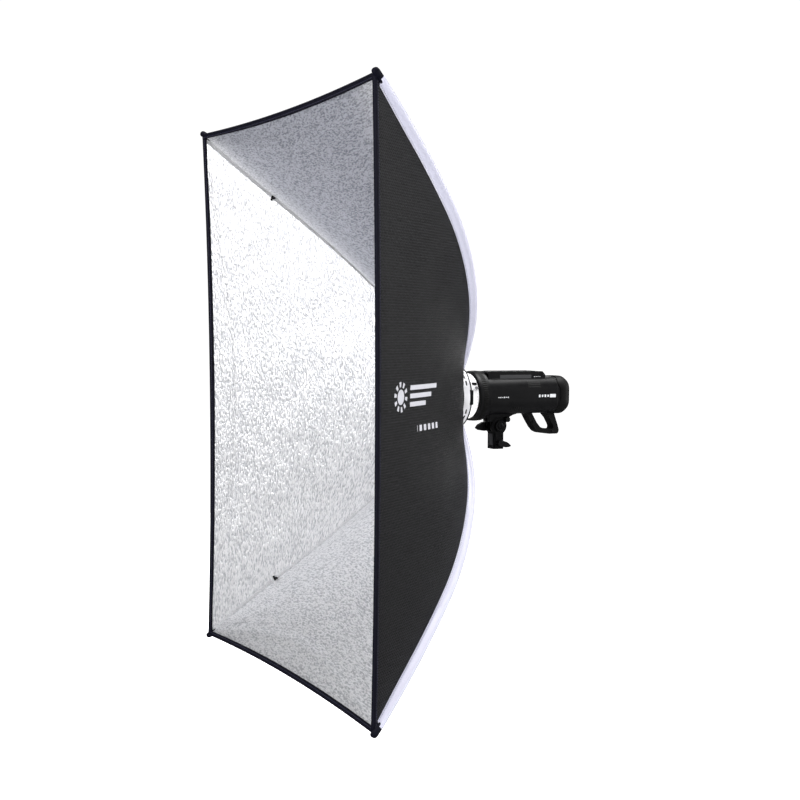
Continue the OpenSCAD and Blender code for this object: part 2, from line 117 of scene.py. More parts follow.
def arc_step(i, turn):
    """How far the curve gets, as (radius, Y), after turning by that angle from the start of arc i."""
    a = ARC_STARTS[i]
    return RADII[i][..., None] * np.stack([np.sin(a + turn) - np.sin(a), np.cos(a + turn) - np.cos(a)], -1)


ARC_ORIGINS = np.array([[ROD_ROOT_R, ROD_Y]] * 3)
for later in (1, 2):
    ARC_ORIGINS[later] = ARC_ORIGINS[later - 1] + arc_step(np.array(later - 1), ARC_SWEEPS[later - 1])


def rod_point(s):
    """(radius, Y) of the rod's centreline at the length s along it."""
    s = np.asarray(s, float)
    i = np.searchsorted(ARC_FROM[1:], s)
    return ARC_ORIGINS[i] + arc_step(i, (s - ARC_FROM[i]) / RADII[i])


def rod_slope(s):
    s = np.asarray(s, float)
    i = np.searchsorted(ARC_FROM[1:], s)
    return ARC_STARTS[i] + (s - ARC_FROM[i]) / RADII[i]


def rod_inside(s, d):
    slope = rod_slope(s)
    return rod_point(s) - d * np.stack([np.sin(slope), np.cos(slope)], -1)


FRONT_Y = float(rod_point(ROD_LEN)[1])


def chord_y(x, half):
    return MOUTH_Y + (FRONT_Y - MOUTH_Y) * (x - MOUTH_R) / (half - MOUTH_R)


def fabric_point(u, v, lining):
    """The fabric of the +X +Z corner, relative to the axis: u from -1, the side panel's middle, over 0, the
    rod's seam, to 1, the top panel's middle; v from 0, the ring, to 1, the front."""
    u, v = np.broadcast_arrays(np.asarray(u, float), np.asarray(v, float))
    w = 1 - np.abs(u)
    on_side = u < 0
    share = np.where(on_side, COS_DIAG, SIN_DIAG)
    other = np.where(on_side, SIN_DIAG, COS_DIAG)
    first = np.maximum(0, MOUTH_R / np.hypot(share, other * w) - ROD_ROOT_R)
    last = ROD_LEN - EDGE_DRAW * (1 - w * w)
    near_tip = np.clip((v - TIP_FROM) / (1 - TIP_FROM), 0, 1) ** 2
    p = rod_inside(first * (1 - v) + last * v, (SEAM_DROP * (1 - TIP_RISE * near_tip))[..., None])
    g = (p[..., 0] - ROD_ROOT_R) / (HALF_DIAG - ROD_ROOT_R)
    pull = 0.2 + 0.45 * g if lining else 0 * g
    drop = LINING_GAP if lining else 0
    seam_y = p[..., 1] + pull * np.minimum(0, chord_y(p[..., 0], HALF_DIAG) - p[..., 1]) - drop
    tight = 0.9 - 0.1 * g if lining else 0.75 - 0.3 * g
    straight = chord_y(share * p[..., 0], share * HALF_DIAG) - seam_y - drop
    y = seam_y + (1 - w * w) * tight * np.minimum(0, straight)
    out, across = share * p[..., 0], other * p[..., 0] * w
    return np.stack([np.where(on_side, out, across), y, np.where(on_side, across, out)], -1)


def to_corner(points, corner):
    """Points of the +X +Z corner, relative to the axis, moved to another corner of the softbox."""
    sx, sz, _ = CORNERS[corner]
    return np.asarray(points) * np.array([sx, 1, sz]) + np.array([0, 0, AXIS_Z])


def in_rod_plane(r, y, t=0.0):
    """A point of the +X +Z corner from its radius, its Y and its distance t from the rod's plane."""
    r, y, t = np.broadcast_arrays(r, y, t)
    return np.stack([COS_DIAG * r - SIN_DIAG * t, y, SIN_DIAG * r + COS_DIAG * t], -1)


# ---- Mesh helpers ----

def new_piece(name, points, faces, material, body, sharp=40.0, attributes=None):
    """A smooth-shaded mesh piece that rides on a body. Edges over sharp degrees stay crisp."""
    mesh = bpy.data.meshes.new(name)
    mesh.from_pydata([tuple(map(float, p)) for p in points], [], [tuple(map(int, f)) for f in faces])
    for key, values in (attributes or {}).items():
        layer = mesh.attributes.new(key, "FLOAT_VECTOR", "POINT")
        layer.data.foreach_set("vector", np.asarray(values, np.float32).ravel())
    bm = bmesh.new()
    bm.from_mesh(mesh)
    bmesh.ops.recalc_face_normals(bm, faces=bm.faces)
    bm.to_mesh(mesh)
    bm.free()
    mesh.shade_smooth()
    mesh.set_sharp_from_angle(angle=math.radians(sharp))
    piece = bpy.data.objects.new(name, mesh)
    bpy.context.scene.collection.objects.link(piece)
    mesh.materials.append(material)
    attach(piece, body)
    return piece


def grid_faces(rows, columns, start=0, closed=False):
    """Quads between a grid's points; closed joins the last column to the first."""
    last = columns if closed else columns - 1
    return [
        (start + i * columns + j, start + i * columns + (j + 1) % columns,
         start + (i + 1) * columns + (j + 1) % columns, start + (i + 1) * columns + j)
        for i in range(rows - 1) for j in range(last)
    ]


def unit(vectors):
    return vectors / np.linalg.norm(vectors, axis=-1, keepdims=True)


def grid_normals(grid):
    """Unit normals of a grid of points."""
    along, across = np.gradient(grid, axis=0), np.gradient(grid, axis=1)
    n = np.cross(along, across)
    return n / np.maximum(np.linalg.norm(n, axis=-1, keepdims=True), 1e-12)


def thick_sheet(name, grid, cloth, thickness, material, body):
    """A closed thin sheet on a grid of points. cloth holds each point's place on the flat cloth."""
    rows, columns = grid.shape[:2]
    n = grid_normals(grid) * thickness / 2
    points = np.concatenate([(grid + n).reshape(-1, 3), (grid - n).reshape(-1, 3)])
    layer = rows * columns
    faces = grid_faces(rows, columns) + [f[::-1] for f in grid_faces(rows, columns, layer)]
    rim = (
        [j for j in range(columns)] + [i * columns + columns - 1 for i in range(1, rows)]
        + [(rows - 1) * columns + j for j in range(columns - 2, -1, -1)]
        + [i * columns for i in range(rows - 2, 0, -1)]
    )
    faces += [(a, rim[(k + 1) % len(rim)], rim[(k + 1) % len(rim)] + layer, a + layer) for k,
              a in enumerate(rim)]
    flat = cloth.reshape(-1, 3)
    return new_piece(name, points, faces, material, body, 50, {"cloth": np.concatenate([flat, flat])})


def sweep(name, sections, material, body, sharp=40.0, closed_path=False, cloth=None):
    """A tube through sections, an array of (ring, point, 3), with flat ends."""
    rings, count = sections.shape[:2]
    faces = grid_faces(rings, count, closed=True)
    if closed_path:
        faces += [((rings - 1) * count + j, (rings - 1) * count + (j + 1) % count, (j + 1) % count, j)
                  for j in range(count)]
    else:
        faces += [tuple(range(count))[::-1], tuple((rings - 1) * count + j for j in range(count))]
    attributes = None if cloth is None else {"cloth": cloth.reshape(-1, 3)}
    return new_piece(name, sections.reshape(-1, 3), faces, material, body, sharp, attributes)


def run_length(path):
    """Distance along a path, at each of its points."""
    return np.concatenate([[0], np.cumsum(np.linalg.norm(np.diff(path, axis=0), axis=1))])


def stitches(name, path, normals, pitch, length, radius, material, body):
    """A row of short threads that lie on a surface along a path."""
    along = run_length(path)
    middles = np.arange(pitch, along[-1] - pitch / 2, pitch)
    points, faces = [], []
    shape = [(-1, 0.25, -0.4), (-0.6, 1, 0.9), (0.6, 1, 0.9), (1, 0.25, -0.4)]

    def at(s):
        place = np.array([np.interp(s, along, path[:, k]) for k in range(3)])
        normal = np.array([np.interp(s, along, normals[:, k]) for k in range(3)])
        return place, unit(normal)

    for s in middles:
        place, normal = at(s)
        tangent = unit(at(s + pitch / 4)[0] - at(s - pitch / 4)[0])
        side = np.cross(tangent, normal)
        base = len(points)
        for step, size, lift in shape:
            centre = place + tangent * step * length / 2 + normal * radius * lift
            for angle in np.radians([0, 72, 144, 216, 288]):
                points.append(centre + radius * size * (math.cos(angle) * side + math.sin(angle) * normal))
        faces += grid_faces(len(shape), 5, base, closed=True)
        faces += [tuple(base + k for k in (4, 3, 2, 1, 0)), tuple(base + 15 + k for k in range(5))]
    return new_piece(name, points, faces, material, body, 60)


def axes_about(axis):
    """Two directions across an axis, and the axis itself."""
    axis = unit(np.asarray(axis, float))
    side = unit(np.cross((0, 1, 0) if abs(axis[2]) > 0.9 else (0, 0, 1), axis))
    return side, np.cross(axis, side), axis


def mm(rows):
    """A turned profile given in millimetres."""
    return [(radius / 1000, height / 1000, share) for radius, height, share in rows]


def lathe(name, profile, origin, axis, material, body, flutes=0, depth=0.0, closed=False, count=96,
          sharp=35.0):
    """A turned shape: profile holds (radius, height along the axis, share of the flutes' depth)."""
    side, up, along = axes_about(axis)
    angles = np.linspace(0, 2 * math.pi, count, endpoint=False)
    rings = []
    for r, h, fluted in profile:
        radius = (r - fluted * depth * (0.5 + 0.5 * np.cos(flutes * angles)))[:, None]
        turned = radius * (np.cos(angles)[:, None] * side + np.sin(angles)[:, None] * up)
        rings.append(np.asarray(origin) + turned + h * along)
    return sweep(name, np.array(rings), material, body, sharp, closed_path=closed)


def bars(name, rows, material, body, chamfer=0.3):
    """Small chamfered blocks: each row is (foot's middle, direction, normal, length, width, height)."""
    points, faces = [], []
    for foot, along, normal, length, width, height in rows:
        foot, along, normal = (np.asarray(a, float) for a in (foot, along, normal))
        along, normal = unit(along), unit(normal)
        side = np.cross(normal, along)
        base = len(points)
        bevel = min(height, width, length) * chamfer
        for lift, inset in ((-0.0004, 0), (height - bevel, 0), (height, bevel)):
            for a, b in ((-1, -1), (1, -1), (1, 1), (-1, 1)):
                corner = along * a * (length / 2 - inset) + side * b * (width / 2 - inset)
                points.append(foot + corner + normal * lift)
        faces += grid_faces(3, 4, base, closed=True)
        faces += [tuple(base + k for k in (3, 2, 1, 0)), tuple(base + 8 + k for k in range(4))]
    return new_piece(name, points, faces, material, body, 20)


def on_axis(name, profile, material, body, count=160, **shape):
    """A closed ring about the optical axis: profile holds (radius, Y, share of the flutes' depth)."""
    return lathe(name, profile, (0, 0, AXIS_Z), (0, 1, 0), material, body, closed=True, count=count, **shape)


def spoke(degrees):
    """The direction outwards from the optical axis, at an angle above +X."""
    a = math.radians(degrees)
    return np.array([math.cos(a), 0, math.sin(a)])


def screws(name, rows, material, body):
    """Button-head screws with hexagon sockets: each row is (middle of the foot, axis, radius)."""
    count = 24
    angles = np.linspace(0, 2 * math.pi, count, endpoint=False)
    hexagon = math.cos(math.pi / 6) / np.cos((angles % (math.pi / 3)) - math.pi / 6)
    shape = [(1.0, -0.2, False), (1.0, 0.3, False), (0.86, 0.55, False), (0.6, 0.66, False),
             (0.5, 0.66, True), (0.48, 0.2, True)]
    points, faces = [], []
    for foot, axis, radius in rows:
        side, up, along = axes_about(axis)
        base = len(points)
        for share, lift, socket in shape:
            r = radius * share * (hexagon if socket else np.ones(count))
            turned = np.cos(angles)[:, None] * side + np.sin(angles)[:, None] * up
            points += list(np.asarray(foot) + r[:, None] * turned + radius * lift * along)
        faces += grid_faces(len(shape), count, base, closed=True)
        last = base + (len(shape) - 1) * count
        faces += [tuple(base + k for k in range(count))[::-1], tuple(last + k for k in range(count))]
    return new_piece(name, points, faces, material, body, 30)


def rounded_outline(width, height, radius, count):
    """Points and normals, as (X, Z), evenly along a rounded rectangle about the axis."""
    points, normals = [], []
    for quarter, (sx, sz) in enumerate(((1, 1), (-1, 1), (-1, -1), (1, -1))):
        for angle in np.radians(np.linspace(0, 90, 13) + 90 * quarter):
            normals.append((math.cos(angle), math.sin(angle)))
            points.append((sx * (width / 2 - radius) + radius * math.cos(angle),
                           sz * (height / 2 - radius) + radius * math.sin(angle)))
    points, normals = np.array(points + points[:1]), np.array(normals + normals[:1])
    along = run_length(points)
    s = np.arange(count) * along[-1] / count
    at = np.stack([np.interp(s, along, points[:, k]) for k in (0, 1)], -1)
    n = np.stack([np.interp(s, along, normals[:, k]) for k in (0, 1)], -1)
    return at, unit(n)


def outline_band(name, outline, profile, material, body, centre=(0.0, 0.0), sharp=35.0):
    """A band along an outline about the axis: profile holds (Y, distance outwards)."""
    at, n = outline
    rings = [np.stack([at[:, 0] + out * n[:, 0] + centre[0], y + 0 * at[:, 0],
                       AXIS_Z + at[:, 1] + out * n[:, 1] + centre[1]], -1) for y, out in profile]
    return sweep(name, np.stack(rings, axis=1), material, body, sharp, closed_path=True)


# ---- Materials ----

WAVE = 0.314  # a wave texture's wavelength at scale 1


class Shader:
    """A material with a Principled shader, and short ways to add nodes to it."""

    def __init__(self, name, colour, roughness, metallic=0.0, **sockets):
        self.material = bpy.data.materials.new(name)
        self.material.use_nodes = True
        self.tree = self.material.node_tree
        self.shader = self.tree.nodes["Principled BSDF"]
        self.set("Base Color", (*colour, 1))
        self.set("Roughness", roughness)
        self.set("Metallic", metallic)
        for key, value in sockets.items():
            self.set(key.replace("_", " "), value)

    def set(self, socket, value):
        self.shader.inputs[socket].default_value = value

    def add(self, kind, **inputs):
        """A node of a kind. Inputs are values or other nodes' outputs; settings start with set_."""
        node = self.tree.nodes.new("ShaderNode" + kind)
        for key, value in inputs.items():
            if key.startswith("set_"):
                setattr(node, key[4:], value)
        for key, value in inputs.items():
            if key.startswith("set_"):
                continue
            socket = node.inputs[int(key[1:])] if key[0] == "i" and key[1:].isdigit() else node.inputs[key]
            if isinstance(value, bpy.types.NodeSocket):
                self.tree.links.new(value, socket)
            else:
                socket.default_value = value
        return node

    def link(self, output, socket):
        self.tree.links.new(output, self.shader.inputs[socket])

    def cloth(self, sx=1.0, sy=1.0, sz=1.0):
        """Places on the flat cloth, scaled."""
        source = self.add("Attribute", set_attribute_name="cloth")
        return self.add("Mapping", Vector=source.outputs["Vector"], Scale=(sx, sy, sz)).outputs[0]

    def solid(self, scale=(1, 1, 1)):
        """Places in the piece's own frame, scaled."""
        source = self.add("TexCoord")
        return self.add("Mapping", Vector=source.outputs["Object"], Scale=scale).outputs[0]

    def noise(self, where, scale, detail=2.0, distortion=0.0):
        return self.add("TexNoise", Vector=where, Scale=scale, Detail=detail,
                        Distortion=distortion).outputs[0]

    def bands(self, where, scale, direction, distortion=0.0):
        return self.add("TexWave", Vector=where, Scale=scale, Distortion=distortion,
                        set_bands_direction=direction).outputs[1]

    def math(self, operation, a, b):
        return self.add("Math", i0=a, i1=b, set_operation=operation).outputs[0]

    def times(self, a, b):
        return self.math("MULTIPLY", a, b)

    def plus(self, a, b):
        return self.math("ADD", a, b)

    def ramp(self, value, low, high, from_low=0.0, from_high=1.0):
        """value spread from low to high."""
        limits = {"From Min": from_low, "From Max": from_high, "To Min": low, "To Max": high}
        return self.add("MapRange", Value=value, **limits).outputs[0]

    def mix(self, share, dark, light):
        """A colour between two, by share. Each is a colour or a node's output."""
        a, b = (c if isinstance(c, bpy.types.NodeSocket) else (*c, 1) for c in (dark, light))
        return self.add("Mix", i0=share, i6=a, i7=b, set_data_type="RGBA").outputs[2]

    def between(self, value, low, high):
        """1 where value is between two limits, else 0."""
        return self.times(self.math("GREATER_THAN", value, low), self.math("LESS_THAN", value, high))

    def bump(self, height, distance, strength=1.0):
        node = self.add("Bump", Height=height, Strength=strength, Distance=distance)
        self.link(node.outputs[0], "Normal")
        return node


def printed_mark(m, where):
    """Where the plain mark's ink lies on the near side panel: a sun, three stripes and a row of dashes."""
    split = m.add("SeparateXYZ", Vector=where)
    height, depth, panel = split.outputs
    up, back = m.math("SUBTRACT", height, 0.022), m.math("SUBTRACT", depth, 0.452)
    away = m.math("SQRT", m.plus(m.times(up, up), m.times(back, back)), 0)
    turn = m.math("SINE", m.times(m.math("ARCTAN2", up, back), 10), 0)
    rays = m.times(m.between(away, 0.019, 0.029), m.math("GREATER_THAN", turn, 0.1))
    ink = m.plus(m.between(away, -1, 0.0145), rays)
    for low, high, front, end in ((0.034, 0.043, 0.27, 0.41), (0.018, 0.027, 0.30, 0.41),
                                  (0.002, 0.011, 0.33, 0.41)):
        ink = m.plus(ink, m.times(m.between(height, low, high), m.between(depth, front, end)))
    dashes = m.math("GREATER_THAN", m.math("SINE", m.times(depth, 2 * math.pi / 0.022), 0), -0.2)
    line = m.times(m.between(height, -0.048, -0.036), m.between(depth, 0.255, 0.375))
    ink = m.plus(ink, m.times(line, dashes))
    return m.times(ink, m.between(panel, 0.5, 1.5))


def outer_material():
    """Black coated polyester: a plain weave with a grid of thicker threads and a pale printed mark."""
    m = Shader("outer_weave", (0.004, 0.004, 0.005), 0.5, Specular_IOR_Level=0.1)
    where = m.cloth()
    thick, fine = WAVE / 0.0052, WAVE / 0.0008
    grid = m.math("MAXIMUM", m.bands(where, thick, "X", 0.5), m.bands(where, thick, "Y", 0.5))
    weave = m.times(m.bands(where, fine, "X", 0.6), m.bands(where, fine, "Y", 0.6))
    slubs = m.noise(m.cloth(150, 700), 1.0, 1)
    height = m.plus(m.times(grid, 0.6), m.times(weave, 0.25))
    m.bump(m.plus(height, m.times(slubs, 0.3)), 0.0006, 0.8)
    cloth = m.mix(m.ramp(m.times(grid, slubs), 0, 1, 0.22, 0.62), (0.0004, 0.0004, 0.0005),
                  (0.024, 0.024, 0.026))
    worn = m.times(printed_mark(m, where), m.ramp(slubs, 0.8, 1, 0.2, 0.5))
    m.link(m.mix(worn, cloth, (0.48, 0.48, 0.52)), "Base Color")
    m.link(m.ramp(m.noise(where, 9, 3), 0.42, 0.6), "Roughness")
    return m.material


def lining_material():
    """Silver coated cloth, embossed with short wavy ripples that run across the light, with painted shade in
    its colour: darker in the ripples' hollows, and darker on the top panel, a little on the bottom one, away
    from the seams.
    """
    m = Shader("silver_lining", (0.80, 0.81, 0.83), 0.36, 0.6)
    ripple = m.noise(m.cloth(1 / 0.009, 1 / 0.0032, 1 / 0.3), 1.0, 1.0, 0.3)
    fine = m.noise(m.cloth(1 / 0.0040, 1 / 0.0026, 1 / 0.3), 1.0, 2)
    height = m.plus(m.ramp(ripple, 0, 1, 0.32, 0.68), m.times(fine, 0.45))
    m.bump(height, 0.0011, 1.0)
    stain = m.noise(m.cloth(), 5, 3)
    panel = m.add("SeparateXYZ", Vector=m.cloth()).outputs[2]
    # Painted shade: a darker, shaded copy of the silver on the end panels, fully on the top panel and a
    # little on the bottom one, fading out towards the seams.
    end_panel_shade = m.plus(m.ramp(panel, 0, 1, 1.62, 1.98), m.ramp(panel, 0, 0.15, -1.62, -1.98))
    # Painted shade on the ripples: the colour is lighter on their crests and darker in their hollows.
    ripple_shade = m.ramp(height, 0, 1, 0.25, 0.95)
    silver = m.mix(ripple_shade, (0.54, 0.55, 0.58), (0.94, 0.94, 0.96))
    shaded_silver = m.mix(ripple_shade, (0.20, 0.21, 0.25), (0.46, 0.47, 0.53))
    m.link(m.mix(end_panel_shade, silver, shaded_silver), "Base Color")
    m.link(m.ramp(stain, 0.32, 0.42), "Roughness")
    return m.material


def webbing_material(name, dark, light, roughness, pitch=0.0016, coat=0.0, gloss=0.4):
    """Woven tape: ribs across its width and a fine twill."""
    m = Shader(name, light, roughness, Coat_Weight=coat, Coat_Roughness=0.25, Specular_IOR_Level=gloss)
    where = m.cloth()
    ribs = m.bands(where, WAVE / pitch, "Y", 0.8)
    twill = m.bands(where, 1.5 * WAVE / pitch, "DIAGONAL", 0.4)
    m.bump(m.plus(ribs, m.times(twill, 0.5)), 0.0003, 0.6)
    m.link(m.mix(m.ramp(ribs, 0, 1), dark, light), "Base Color")
    return m.material


def plastic_material(name, colour, roughness, grain=0.0008, depth=0.00006, coat=0.0, gloss=0.5):
    """Moulded plastic with a fine spark-eroded grain and a little unevenness in its gloss."""
    m = Shader(name, colour, roughness, Coat_Weight=coat, Coat_Roughness=0.2, Specular_IOR_Level=gloss)
    where = m.solid()
    m.bump(m.noise(where, 1 / grain, 2), depth, 0.5)
    cloud = m.noise(where, 35, 3)
    m.link(m.ramp(cloud, roughness - 0.07, roughness + 0.07, 0.3, 0.7), "Roughness")
    light = tuple(min(1.0, c * 1.35 + 0.0012) for c in colour)
    m.link(m.mix(cloud, colour, light), "Base Color")
    return m.material


def metal_material(name, colour, roughness, brush=(1.0, 1.0, 1.0), depth=0.00002, metallic=1.0):
    """Metal with brushed or cast grain: brush gives the stretch of the grain along X, Y and Z."""
    m = Shader(name, colour, roughness, metallic)
    grain = m.noise(m.solid(brush), 900, 2)
    m.bump(grain, depth, 0.6)
    m.link(m.ramp(grain, roughness - 0.08, roughness + 0.1), "Roughness")
    cloud = m.noise(m.solid(), 40, 3)
    m.link(m.mix(cloud, tuple(c * 0.88 for c in colour), colour), "Base Color")
    return m.material


OUTER = outer_material()
LINING = lining_material()
HEM = webbing_material("hem_tape", (0.0008, 0.0008, 0.003), (0.004, 0.004, 0.012), 0.6, gloss=0.1)
# Painted sheen: the pale lavender colour of the sleeve stands in for the white light its glossy black satin
# reflects at grazing angles.
SLEEVE = webbing_material("sleeve_webbing", (0.42, 0.42, 0.52), (0.62, 0.62, 0.74), 0.3, coat=0.6)
THREAD = webbing_material("thread", (0.03, 0.03, 0.06), (0.07, 0.07, 0.12), 0.5, 0.0006)
ROD_STEEL = metal_material("rod_steel", (0.62, 0.63, 0.65), 0.3, (1, 0.1, 1))
RING_ALLOY = metal_material("ring_alloy", (0.80, 0.80, 0.83), 0.32, metallic=0.2)
WHITE_PAINT = plastic_material("white_paint", (0.93, 0.93, 0.93), 0.28, 0.002, 0.00003, coat=0.4)
BLACK_PLASTIC = plastic_material("black_plastic", (0.003, 0.003, 0.0035), 0.4, gloss=0.16)
GRIP = plastic_material("grip_rubber", (0.002, 0.002, 0.002), 0.6, 0.0011, 0.00012, gloss=0.16)
DARK_METAL = metal_material("dark_metal", (0.012, 0.012, 0.013), 0.4, metallic=0.9)
BRIGHT_METAL = metal_material("bright_metal", (0.78, 0.78, 0.80), 0.24)
RED = plastic_material("signal_red", (0.45, 0.03, 0.03), 0.3)
SCREEN = plastic_material("screen", (0.01, 0.014, 0.018), 0.12, 0.004, 0.00001, coat=0.8)
LAMP = plastic_material("lamp_yellow", (0.8, 0.62, 0.18), 0.35)
BOARD = plastic_material("board_green", (0.02, 0.16, 0.06), 0.4)
CAPACITOR = plastic_material("capacitor_blue", (0.03, 0.05, 0.22), 0.25, coat=0.4)


def glass_material():
    m = Shader("clear_glass", (0.95, 0.97, 0.98), 0.08, Transmission_Weight=1.0, IOR=1.46)
    m.link(m.ramp(m.noise(m.solid(), 60, 2), 0.05, 0.14), "Roughness")
    return m.material


GLASS = glass_material()

SLOT_MATERIALS = {
    "outer_fabric": OUTER, "silver_lining": LINING, "sleeve_webbing": SLEEVE, "rod_steel": ROD_STEEL,
    "ring_alloy": RING_ALLOY, "white_paint": WHITE_PAINT, "black_plastic": BLACK_PLASTIC,
    "grip_rubber": GRIP,
    "dark_metal": DARK_METAL, "bright_metal": BRIGHT_METAL, "signal_red": RED, "screen": SCREEN,
    "clear_glass": GLASS, "lamp_yellow": LAMP, "board_green": BOARD, "capacitor_blue": CAPACITOR,
}


def dress_cad_nodes():
    """Gives every CAD node its slot's material."""
    for row in frame["record"]["subparts"]:
        node = frame["nodes"][row["node"]]
        node.data.materials.clear()
        node.data.materials.append(SLOT_MATERIALS[row["material_slot"]])


# ---- Softbox fabric ----

def waves(p, terms):
    """A smooth field of low waves: each term is (wavelengths along X, Y and Z, phase)."""
    return sum(np.sin(2 * math.pi * (p[..., 0] / a + p[..., 1] / b + p[..., 2] / c) + phase)
               for a, b, c, phase in terms) / len(terms)


SLACK = [(0.31, 0.17, 0.43, 0.4), (-0.23, 0.29, 0.21, 2.1), (0.5, -0.21, 0.15, 4.0),
         (0.19, 0.37, -0.33, 5.2)]
CREASES = [(0.11, 0.6, -0.13, 1.0), (-0.09, 0.5, 0.21, 3.3), (0.14, -0.4, 0.10, 0.2)]


def fabric_grid(corner, lining, columns=96, rows=100):
    """Points of one corner of the fabric in the row frame, with their places on the flat cloth."""
    u = np.linspace(-1, 1, columns + 1)
    v = np.linspace(0, 1, rows + 1)
    base = fabric_point(u[None, :], v[:, None], lining)
    if not lining:
        base = base + np.array([0, CLOTH_T / 2, 0])
    half = columns // 2
    normal = np.concatenate([grid_normals(base[:, :half + 1])[:, :-1], grid_normals(base[:, half:])],
                            axis=1)
    normal = normal * np.sign(normal.sum(-1, keepdims=True))
    step = np.linalg.norm(np.diff(base, axis=0), axis=-1)
    depth = np.concatenate([np.zeros((1, columns + 1)), np.cumsum(step, axis=0)])
    from_front = depth[-1] - depth
    out = np.where(u < 0, base[..., 0] / COS_DIAG, base[..., 2] / SIN_DIAG)
    across = np.where(u < 0, base[..., 2], base[..., 0])
    placed = to_corner(base, corner)
    from_seam = np.where(u < 0, SIN_DIAG, COS_DIAG) * out - across
    inner = np.clip(from_front / 0.03, 0, 1) * np.clip(depth / 0.05, 0, 1) * np.clip(from_seam / 0.07, 0,
                                                                                     1) ** 0.8
    lift = 0.0003 * waves(placed, SLACK) + 0.0004
    if lining:
        w = 1 - np.abs(u)[None, :]
        pleat = 0.068 * (1 - w ** 2) + 0.004
        valley = np.exp(-((from_front - pleat) / 0.011) ** 2) * np.clip((1 - w) / 0.1, 0, 1)
        fan = np.arctan2(from_seam, from_front + 0.004)
        reach = np.exp(-np.hypot(from_seam, from_front) / 0.16)
        slack = 0.0012 * (1 + waves(placed, SLACK)) + 0.0006 * (1 + waves(placed, CREASES))
        folds = 0.0042 * valley + 0.0024 * reach * (1 + np.sin(17 * fan + 1.1))
        lift = -(slack + folds)
    sx, sz, _ = CORNERS[corner]
    shift = normal * (lift * inner)[..., None] * np.array([sx, 1, sz])
    # Places on the cloth: across the panel, then along it, from the ring on the outer fabric and from the
    # hem on the lining. The third value is 1 on side panels, and 1.6, at the seam, to 2 on end panels.
    # The lining reads this third value to paint shade on its end panels, darker away from the seam; the
    # outer fabric reads it to place its print.
    panel = np.where(u < 0, sx, 2 * sz * (1 - 0.2 * np.exp(-from_seam / 0.05)))
    cloth = np.stack([across * np.where(u < 0, sz, sx), from_front if lining else depth, panel], -1)
    return placed + shift, cloth


def fold_flat(piece):
    """Gives the piece its own copy of its mesh."""
    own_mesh(piece)


def make_fabric(corner):
    body = "rod_" + corner
    for kind, lining, thickness, material, slot in (
        ("outer", False, 0.0007, OUTER, "outer_fabric"), ("lining", True, 0.0005, LINING, "silver_lining"),
    ):
        grid, cloth = fabric_grid(corner, lining)
        piece = thick_sheet(f"{kind}_fabric_{corner}", grid, cloth, thickness, material, body)
        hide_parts(f"{kind}_{corner}")
        fold_flat(piece)


def tape_places(along, count, step):
    """Places on a tape with that many points across it: across, along, 0."""
    return np.stack([np.stack([np.full(len(along), k * step), along, 0 * along], -1)
                     for k in range(count)], axis=1)


def hem_sections(corner):
    """The tape folded over the front edges of both fabrics: (ring, point, 3), with the cloth's places."""
    u = np.concatenate([np.linspace(-1, -0.08, 60), np.linspace(-0.07, 0.07, 29), np.linspace(0.08, 1, 60)])
    outer, lining = fabric_point(u, 1.0, False), fabric_point(u, 1.0, True)
    outer = outer + np.array([0, CLOTH_T / 2, 0])
    back = (outer + lining - fabric_point(u, 0.97, False) - fabric_point(u, 0.97, True)) / 2
    middle = (outer + lining) / 2

    def smooth(a, times):
        a = a.copy()
        for _ in range(times):
            a[1:-1] = (a[:-2] + 2 * a[1:-1] + a[2:]) / 4
        return a

    middle = smooth(middle, 14)
    back = -unit(smooth(back, 30))
    out = unit(np.cross(unit(np.gradient(middle, axis=0)), back))
    out *= np.sign(out[:, :1] + out[:, 2:])
    wide, front, out_r, in_r, round_r = 0.0085, 0.0036, 0.0030, 0.0052, 0.0020
    turns = np.radians(np.arange(0, 91, 22.5))
    section = [(round_r * (1 - math.sin(t)) - front, out_r - round_r * (1 - math.cos(t))) for t in turns]
    section += [(round_r * (1 - math.cos(t)) - front, -in_r + round_r * (1 - math.sin(t))) for t in turns]
    section += [(wide * 0.5, -in_r * 0.96), (wide * 0.56, -in_r * 0.86), (wide * 0.62, -in_r * 0.96),
                (wide - 0.0012, -in_r * 0.94), (wide, -in_r * 0.6), (wide, out_r * 0.5),
                (wide - 0.0010, out_r)]
    along = run_length(middle)
    rings = np.stack([middle + a * back + b * out for a, b in section], axis=1)
    places = tape_places(along, len(section), 0.002)
    rows = [(middle + wide * 0.5 * back + out_r * out, out),
            (middle + wide * 0.3 * back - in_r * out, -out)]
    return rings, places, rows


def sew(corner, name, tags, rows, pitch, length, radius):
    """Rows of thread along lines on the tape of a corner: each row is (line, direction it faces)."""
    sx, sz, _ = CORNERS[corner]
    threads = []
    for tag, (line, face) in zip(tags, rows):
        thread = stitches(f"{name}_{tag}_{corner}", to_corner(line, corner), face * np.array([sx, 1, sz]),
                          pitch, length, radius, THREAD, "rod_" + corner)
        threads.append(thread)
    return threads


def make_hem(corner):
    body = "rod_" + corner
    rings, places, rows = hem_sections(corner)
    piece = sweep(f"hem_{corner}", to_corner(rings, corner), HEM, body, 35, cloth=places)
    fold_flat(piece)
    for row in sew(corner, "hem_thread", ("outer", "inner"), rows, 0.005, 0.0036, 0.0005):
        fold_flat(row)


